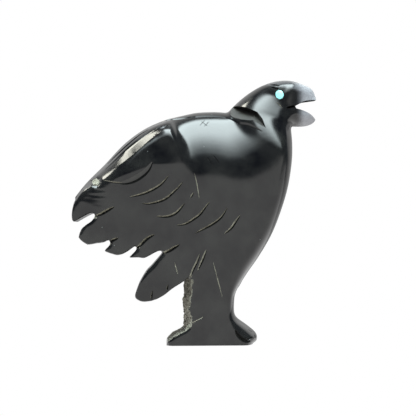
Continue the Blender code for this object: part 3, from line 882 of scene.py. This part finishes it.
def make_eye(name, place, normal, material):
    """A turquoise cabochon: a short oval plug with a low domed face."""
    deselect_all()
    bpy.ops.mesh.primitive_cylinder_add(vertices=EYE_SIDES, radius=1, depth=2)
    eye = bpy.context.object
    eye.name = name
    bpy.ops.object.mode_set(mode="EDIT")
    bpy.ops.mesh.select_mode(type="FACE")
    bpy.ops.mesh.select_all(action="DESELECT")
    bpy.ops.object.mode_set(mode="OBJECT")
    for face in eye.data.polygons:
        face.select = face.normal.z > 0.9
    bpy.ops.object.mode_set(mode="EDIT")
    for _ in range(DOME_RINGS):
        bpy.ops.mesh.inset(thickness=DOME_RING_WIDTH)
    bpy.ops.mesh.poke()
    bpy.ops.object.mode_set(mode="OBJECT")
    proud = EYE_PROUD / EYE_DEPTH
    for vertex in eye.data.vertices:
        if vertex.co.z > 0:
            out = min(math.hypot(vertex.co.x, vertex.co.y), 1)
            vertex.co.z = proud * math.sqrt(max(1 - (DOME_WIDTH * out) ** 2, 0)) - DOME_SINK
    lay_on_head(eye, place, normal, 0, EYE_DEPTH)
    face_out(eye)
    eye.data.materials.append(material)
    bpy.ops.object.shade_smooth_by_angle(angle=CRISP_EYE)
    return eye


def colour(hex_code):
    """An sRGB hex colour as linear RGBA."""
    parts = [int(hex_code[i : i + 2], 16) / 255 for i in (1, 3, 5)]
    return tuple(c / 12.92 if c <= 0.04045 else ((c + 0.055) / 1.055) ** 2.4 for c in parts) + (1.0,)


def set_inputs(tree, node, inputs):
    """Gives a node's inputs their values, or the sockets that feed them."""
    for name, value in inputs.items():
        if isinstance(value, bpy.types.NodeSocket):
            tree.links.new(value, node.inputs[name])
        else:
            node.inputs[name].default_value = value


def add_node(tree, kind, inputs=None, **settings):
    """Adds a shader node: settings are its own properties, inputs its values or what feeds them."""
    node = tree.nodes.new("ShaderNode" + kind)
    for name, value in settings.items():
        setattr(node, name, value)
    set_inputs(tree, node, inputs or {})
    return node


def per_mm(size):
    """The texture scale at which one cell, or one wave of noise, is this many millimetres."""
    return 1 / (size * MM)


def new_material(name):
    material = bpy.data.materials.new(name)
    material.use_nodes = True
    tree = material.node_tree
    return material, tree, tree.nodes["Principled BSDF"]


def slanted_strokes(tree, place, slant, size, detail):
    """Noise drawn out into strokes, whose size along each axis is in millimetres."""
    scale = tuple(per_mm(length) for length in size)
    slanted = add_node(
        tree, "Mapping", {"Vector": place, "Rotation": (0, slant, 0), "Scale": scale}
    ).outputs["Vector"]
    return add_node(tree, "TexNoise", {"Vector": slanted, "Scale": 1, "Detail": detail}).outputs["Fac"]


def pale_specks(tree, place):
    """Specks 0.2 mm across in cells of 3.2 mm, of which about a third holds one."""
    cells = add_node(tree, "TexVoronoi", {"Vector": place, "Scale": per_mm(3.2)})
    near = add_node(
        tree, "MapRange", {"Value": cells.outputs["Distance"], "From Min": 0.05, "From Max": 0.02}
    ).outputs["Result"]
    chosen = add_node(
        tree, "Math", {0: cells.outputs["Color"], 1: 0.6}, operation="GREATER_THAN"
    ).outputs["Value"]
    return add_node(tree, "Math", {0: near, 1: chosen}, operation="MULTIPLY").outputs["Value"]


def finish_cut(tree, shader, share, tones, relief, inputs):
    """Gives a cut's stone two tones mixed by a share, relief from a pattern, and its other inputs."""
    dark, light = tones
    pattern, strength = relief
    base = add_node(tree, "Mix", {0: share, 6: colour(dark), 7: colour(light)}, data_type="RGBA").outputs[2]
    bump = add_node(tree, "Bump", {"Height": pattern, "Strength": strength, "Distance": CUT_RELIEF})
    set_inputs(tree, shader, {"Base Color": base, "Normal": bump.outputs["Normal"], **inputs})


def polished_jet():
    """Jet, a dense black lignite, ground and buffed by hand: deep black with a clear gloss, a faint
    cloudiness where the buffing was uneven, hairline scratches and a few pale mineral specks. Where the saw
    and the splitting marks were left, it is dull, brown and beige. On the beak, and a little on the crown,
    it is rubbed dull, and its colour is lightened towards pale grey as painted light."""
    material, tree, shader = new_material("jet, polished by hand")
    place = add_node(tree, "TexCoord").outputs["Object"]
    cloud = add_node(
        tree, "TexNoise", {"Vector": place, "Scale": per_mm(6), "Detail": 5, "Roughness": 0.6}
    ).outputs["Fac"]
    haze = add_node(
        tree, "MapRange", {"Value": cloud, "From Min": 0.36, "From Max": 0.66}
    ).outputs["Result"]
    black = add_node(
        tree, "Mix", {0: haze, 6: colour("#060607"), 7: colour("#222220")}, data_type="RGBA"
    ).outputs[2]
    # Hairlines about 0.2 mm apart, steeply slanted
    hairlines = slanted_strokes(tree, place, math.radians(-55), (0.2, 5, 4), 2)
    speck = pale_specks(tree, place)
    # Bare stone, from the attribute painted on the mesh, broken up by grain of about 0.5 mm
    grain = add_node(
        tree, "TexNoise", {"Vector": place, "Scale": per_mm(0.55), "Detail": 6, "Roughness": 0.7}
    ).outputs["Fac"]
    painted = add_node(tree, "Attribute", attribute_name="bare_stone").outputs["Fac"]
    both = add_node(tree, "Math", {0: painted, 1: grain}, operation="ADD").outputs["Value"]
    bare = add_node(tree, "MapRange", {"Value": both, "From Min": 0.85, "From Max": 1.05}).outputs["Result"]
    dull = add_node(
        tree, "MapRange", {"Value": grain, "From Min": 0.35, "From Max": 0.65}
    ).outputs["Result"]
    pale = add_node(tree, "Math", {0: dull, 1: painted}, operation="MULTIPLY").outputs["Value"]
    beige = add_node(
        tree, "Mix", {0: pale, 6: colour("#4a4738"), 7: colour("#c2bfb0")}, data_type="RGBA"
    ).outputs[2]
    speckled = add_node(
        tree, "Mix", {0: speck, 6: black, 7: colour("#6a6e6c")}, data_type="RGBA"
    ).outputs[2]
    # Painted light: on the beak, and a little on the crown, the colour is lightened towards pale grey. The
    # rougher gloss there is the real rubbing
    worn_and_painted_light = add_node(tree, "Attribute", attribute_name="worn_and_painted_light").outputs["Fac"]
    painted_light_patchiness = add_node(tree, "MapRange", {"Value": dull, "To Min": 0.7, "To Max": 1}).outputs["Result"]
    painted_light_share = add_node(tree, "Math", {0: worn_and_painted_light, 1: painted_light_patchiness}, operation="MULTIPLY").outputs["Value"]
    with_painted_light = add_node(
        tree, "Mix", {0: painted_light_share, 6: speckled, 7: colour("#adaeb3")}, data_type="RGBA"
    ).outputs[2]
    base = add_node(tree, "Mix", {0: bare, 6: with_painted_light, 7: beige}, data_type="RGBA").outputs[2]
    gloss = add_node(
        tree, "MapRange", {"Value": cloud, "From Min": 0.3, "From Max": 0.7, "To Min": 0.1, "To Max": 0.17}
    ).outputs["Result"]
    rubbed = add_node(tree, "Mix", {0: worn_and_painted_light, 2: gloss, 3: 0.42}).outputs[0]
    rough = add_node(tree, "Mix", {0: bare, 2: rubbed, 3: 0.85}).outputs[0]
    fine = add_node(tree, "Bump", {"Height": hairlines, "Strength": 0.04, "Distance": 0.02 * MM})
    pitted = add_node(tree, "Math", {0: grain, 1: bare}, operation="MULTIPLY").outputs["Value"]
    relief = {"Height": pitted, "Strength": 1.0, "Distance": 0.12 * MM, "Normal": fine.outputs["Normal"]}
    coarse = add_node(tree, "Bump", relief)
    normal = coarse.outputs["Normal"]
    set_inputs(tree, shader, {"Base Color": base, "Roughness": rough, "Normal": normal, "IOR": 1.59})
    return material


def chiselled_jet():
    """The floor and walls of a chisel cut: crushed jet, matt and grey-brown, with stone dust left in it."""
    material, tree, shader = new_material("jet, cut with a chisel")
    place = add_node(tree, "TexCoord").outputs["Object"]
    dust = add_node(
        tree, "TexNoise", {"Vector": place, "Scale": per_mm(0.9), "Detail": 4, "Roughness": 0.6}
    ).outputs["Fac"]
    share = add_node(tree, "MapRange", {"Value": dust, "From Min": 0.4, "From Max": 0.66}).outputs["Result"]
    finish_cut(tree, shader, share, ("#6a675a", "#a5a28e"), (dust, 0.5), {"Roughness": 0.38, "IOR": 1.62})
    return material


def shade_black_jet():
    """The wall of a cut that lies in shade, rubbed with emery, with fine strokes along it: coloured nearly
    black and matt, as painted shade.
    """
    material, tree, shader = new_material("jet, cut and sanded")
    place = add_node(tree, "TexCoord").outputs["Object"]
    strokes = slanted_strokes(tree, place, math.radians(38), (4, 1, 0.35), 3)
    share = add_node(
        tree, "MapRange", {"Value": strokes, "From Min": 0.4, "From Max": 0.7}
    ).outputs["Result"]
    matt = {"Roughness": 0.8, "Specular IOR Level": 0.08}
    finish_cut(tree, shader, share, ("#040404", "#0f0e0d"), (strokes, 0.35), matt)
    return material


def buffed_jet():
    """The broad wall of the wing tip's cut and the ledge at the neck, gone over with a felt wheel:
    grey-black with a soft sheen."""
    material, tree, shader = new_material("jet, cut and buffed")
    place = add_node(tree, "TexCoord").outputs["Object"]
    cloud = add_node(tree, "TexNoise", {"Vector": place, "Scale": per_mm(1.5), "Detail": 4}).outputs["Fac"]
    finish_cut(tree, shader, cloud, ("#1b1b1a", "#3c3b37"), (cloud, 0.3), {"Roughness": 0.4, "IOR": 1.58})
    return material


def turquoise():
    """Turquoise cabochon: an even, waxy blue-green stone with paler clouds, ground and polished."""
    material, tree, shader = new_material("turquoise, polished")
    place = add_node(tree, "TexCoord").outputs["Object"]
    cloud = add_node(tree, "TexNoise", {"Vector": place, "Scale": per_mm(0.8), "Detail": 3}).outputs["Fac"]
    share = add_node(
        tree, "MapRange", {"Value": cloud, "From Min": 0.35, "From Max": 0.65}
    ).outputs["Result"]
    base = add_node(
        tree, "Mix", {0: share, 6: colour("#9ff6f6"), 7: colour("#b0fdfb")}, data_type="RGBA"
    ).outputs[2]
    set_inputs(tree, shader, {"Base Color": base, "Roughness": 0.3, "IOR": 1.61})
    return material


def bare_stone(normals, x, y):
    """How bare the stone is: on the leg's rear, on the heel's top and in the bare spots."""
    leg_x, leg_y = BARE_LEG_FADES
    leg = within(x, leg_x) * within(y, leg_y)
    weakest, strongest = BARE_LEG_STRENGTH
    strength = weakest + (strongest - weakest) * ease(y, *BARE_LEG_BRIGHTENS)
    bare = leg * ease(normals[:, 0], *BARE_LEG_FACING) * strength * ease(y, *BARE_LEG_ENDS)
    heel = BARE_HEEL_STRENGTH * leg * ease(normals[:, 2], *BARE_HEEL_FACING) * ease(y, *BARE_HEEL_FADES)
    bare = np.maximum(bare, heel)
    for spot_x, spot_y, reach, most in BARE_SPOTS:
        distance = np.hypot(x - spot_x, y - spot_y)
        bare = np.maximum(bare, most * ease(distance, reach, reach * BARE_SPOT_CORE))
    return bare


def rubbed_and_painted_light(x, y):
    """How dull the stone is rubbed, and how far its colour is lightened as painted light: fully on the
    beak, and a little along the crown.
    """
    crest = RUBBED_AND_PAINTED_LIGHT_FROM - RUBBED_AND_PAINTED_LIGHT_CROWN_BACK * ease(y, *RUBBED_AND_PAINTED_LIGHT_CROWN_TURNS)
    share = 1 - (1 - RUBBED_AND_PAINTED_LIGHT_CROWN_SHARE) * ease(x, *RUBBED_AND_PAINTED_LIGHT_CROWN_FADES)
    return ease(x, crest, crest + RUBBED_AND_PAINTED_LIGHT_BLEND) * share * ease(y, *RUBBED_AND_PAINTED_LIGHT_THROAT_ENDS)


def paint_wear_and_light(bird):
    """Writes where the stone is bare, and where it is rubbed dull and lightened with painted light, as
    attributes of the mesh.
    """
    mesh = bird.data
    _, normals, x, y = read_surface(mesh)
    for name, values in (("bare_stone", bare_stone(normals, x, y)), ("worn_and_painted_light", rubbed_and_painted_light(x, y))):
        attribute = mesh.attributes.new(name, "FLOAT", "POINT")
        attribute.data.foreach_set("value", values.astype(np.float32))


def finish_surface(bird):
    """Crisp edges where a cut meets the polish, and smooth shading everywhere else."""
    pick(bird)
    bpy.ops.object.shade_smooth_by_angle(angle=CRISP_STONE)
    bpy.ops.object.mode_set(mode="EDIT")
    for slot in range(1, len(bird.data.materials)):
        bpy.ops.mesh.select_mode(type="FACE")
        bpy.ops.mesh.select_all(action="DESELECT")
        bird.active_material_index = slot
        bpy.ops.object.material_slot_select()
        bpy.ops.mesh.region_to_loop()
        bpy.ops.mesh.mark_sharp()
    bpy.ops.object.mode_set(mode="OBJECT")
    weighted = bird.modifiers.new("even shading", "WEIGHTED_NORMAL")
    weighted.keep_sharp = True
    weighted.weight = SHADING_WEIGHT
    bpy.ops.object.modifier_apply(modifier=weighted.name)


def make_raven():
    bird = make_blank()
    shape_by_hand(bird)
    for material in (polished_jet(), chiselled_jet(), shade_black_jet(), buffed_jet()):
        bird.data.materials.append(material)
    # The third finish colours walls near black as painted shade: the lower walls of cuts, the brow and
    # mouth cuts, the dark scratches, the mouth and the eye socket
    polished, chiselled, painted_shade, buffed = range(4)
    skin = skin_of(bird)
    place, normal = on_skin(skin, EYE_PLACE)
    edges = ((WING_EDGE_UPPER, WING_EDGE_LOWER), (TAIL_EDGE_UPPER, TAIL_EDGE_LOWER))
    carve(bird, [edge_plane(skin, *lines) for lines in edges], (polished, polished))
    carve(bird, [neck_tool()], (polished, buffed))
    smoothed_cuts = BACK_CUTS + SHOULDER_CUTS + TOE_CUTS
    carve(bird, [chisel(skin, *line) for line in smoothed_cuts], (polished, polished))
    carve(bird, [chisel(skin, *line) for line in BROW_CUTS], (painted_shade, painted_shade))
    carve(bird, [chisel(skin, *line) for line in TIP_CUT], (buffed, painted_shade))
    dusty_cuts_with_painted_shade = TIP_LINE + WING_CUTS + LEG_CUTS + ROOT_CUTS + CHEEK_CUTS
    carve(bird, [chisel(skin, *line) for line in dusty_cuts_with_painted_shade], (chiselled, painted_shade))
    carve(bird, [chisel(skin, *line) for line in SCRATCHES], (chiselled, chiselled), both_sides=False)
    carve(bird, [chisel(skin, *line) for line in DARK_SCRATCHES], (painted_shade, painted_shade), both_sides=False)
    carve(bird, [saw("mouth_saw", MOUTH_LINE, MOUTH_SAW_REACH)], (painted_shade, painted_shade), both_sides=False)
    carve(bird, [chisel(skin, *line) for line in MOUTH_CUTS], (painted_shade, painted_shade))
    carve(bird, [eye_socket(place, normal)], (painted_shade, painted_shade))
    paint_wear_and_light(bird)
    finish_surface(bird)
    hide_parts("raven")
    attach(bird, "root")
    return place, normal


def make_eyes(place, normal):
    stone = turquoise()
    for side, mirror in (("right", 1), ("left", -1)):
        spot = Vector((place.x, mirror * place.y, place.z))
        facing = Vector((normal.x, mirror * normal.y, normal.z))
        eye = make_eye(f"{side}_eye_inlay", spot, facing, stone)
        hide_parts(f"eye_{side}")
        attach(eye, "root")


def make_room():
    """A room that is white below the horizon and pale grey behind the bird, and elsewhere dark above the
    horizon, at the right a little further down. The long softbox overhead is dimmer towards the front."""
    world = bpy.data.worlds.new("studio")
    bpy.context.scene.world = world
    world.use_nodes = True
    tree = world.node_tree
    direction = add_node(tree, "TexCoord").outputs["Generated"]
    axes = add_node(tree, "SeparateXYZ", {"Vector": direction}).outputs
    shares = {}
    for name, (axis, none, full) in ROOM_FADES.items():
        shares[name] = add_node(
            tree,
            "MapRange",
            {"Value": axes[axis], "From Min": none, "From Max": full},
            interpolation_type="SMOOTHSTEP",
        ).outputs["Result"]
    for name, (first, *others) in ROOM_PARTS.items():
        shares[name] = shares[first]
        for other in others:
            shares[name] = add_node(
                tree, "Math", {0: shares[name], 1: shares[other]}, operation="MULTIPLY"
            ).outputs["Value"]
    unlit = add_node(
        tree, "Math", {0: shares["over the horizon"], 1: shares["right"]}, operation="MAXIMUM"
    ).outputs["Value"]
    dark = add_node(
        tree, "Math", {0: shares["not behind"], 1: unlit}, operation="MULTIPLY"
    ).outputs["Value"]
    behind = add_node(tree, "Mix", {0: shares["high"], 2: ROOM_BEHIND_LOW, 3: ROOM_BEHIND_HIGH}).outputs[0]
    white = add_node(tree, "Mix", {0: shares["behind"], 2: ROOM_FRONT, 3: behind}).outputs[0]
    room = add_node(tree, "Mix", {0: dark, 6: white, 7: (*ROOM_DARK, 1)}, data_type="RGBA").outputs[2]
    lit = add_node(
        tree, "VectorMath", {0: shares["softbox"], 1: OVERHEAD, 2: room}, operation="MULTIPLY_ADD"
    ).outputs["Vector"]
    # What the camera sees past the bird is plain white
    seen = add_node(tree, "LightPath").outputs["Is Camera Ray"]
    shown = add_node(tree, "VectorMath", {0: lit, 1: seen}, operation="MAXIMUM").outputs["Vector"]
    set_inputs(tree, tree.nodes["Background"], {"Color": shown})


def make_side_lamp():
    """A round lamp, high at the left and a little behind, with the power that gives its brightness."""
    data = bpy.data.lights.new("side lamp", "AREA")
    data.shape = "DISK"
    data.size = SIDE_SIZE
    data.color = SIDE_COLOUR
    data.energy = SIDE_BRIGHTNESS * math.pi * math.pi * (SIDE_SIZE / 2) ** 2
    lamp = bpy.data.objects.new("side lamp", data)
    bpy.context.scene.collection.objects.link(lamp)
    away = Vector(SIDE_DIRECTION).normalized()
    lamp.location = Vector(LIGHT_AIM) + away * SIDE_DISTANCE
    lamp.rotation_euler = away.to_track_quat("Z", "Y").to_euler()


def make_floor():
    deselect_all()
    bpy.ops.mesh.primitive_plane_add(size=FLOOR_SIZE, location=FLOOR_CENTRE)
    floor = bpy.context.object
    floor.name = "floor"
    # A paper sweep, lit so evenly that it shows no shadow
    material, tree, shader = new_material("white paper sweep")
    set_inputs(tree, shader, {"Base Color": colour("#000000"), "Roughness": 1.0, "Specular IOR Level": 0.0})
    set_inputs(tree, shader, {"Emission Color": colour("#ffffff"), "Emission Strength": ROOM_FRONT})
    floor.data.materials.append(material)


def make_camera():
    data = bpy.data.cameras.new("camera")
    data.sensor_width = SENSOR_WIDTH
    data.lens = SENSOR_WIDTH * CAMERA_DISTANCE / VIEW_WIDTH
    data.clip_start = NEAREST_SEEN
    camera = bpy.data.objects.new("camera", data)
    bpy.context.scene.collection.objects.link(camera)
    back = Vector(
        (
            math.sin(CAMERA_AZIMUTH) * math.cos(CAMERA_ELEVATION),
            -math.cos(CAMERA_AZIMUTH) * math.cos(CAMERA_ELEVATION),
            math.sin(CAMERA_ELEVATION),
        )
    )
    camera.location = Vector(CAMERA_AIM) + back * CAMERA_DISTANCE
    camera.rotation_euler = back.to_track_quat("Z", "Y").to_euler()
    bpy.context.scene.camera = camera


place, normal = make_raven()
make_eyes(place, normal)
make_room()
make_side_lamp()
make_floor()
make_camera()
bpy.context.scene.view_settings.view_transform = "Standard"
bpy.context.view_layer.update()
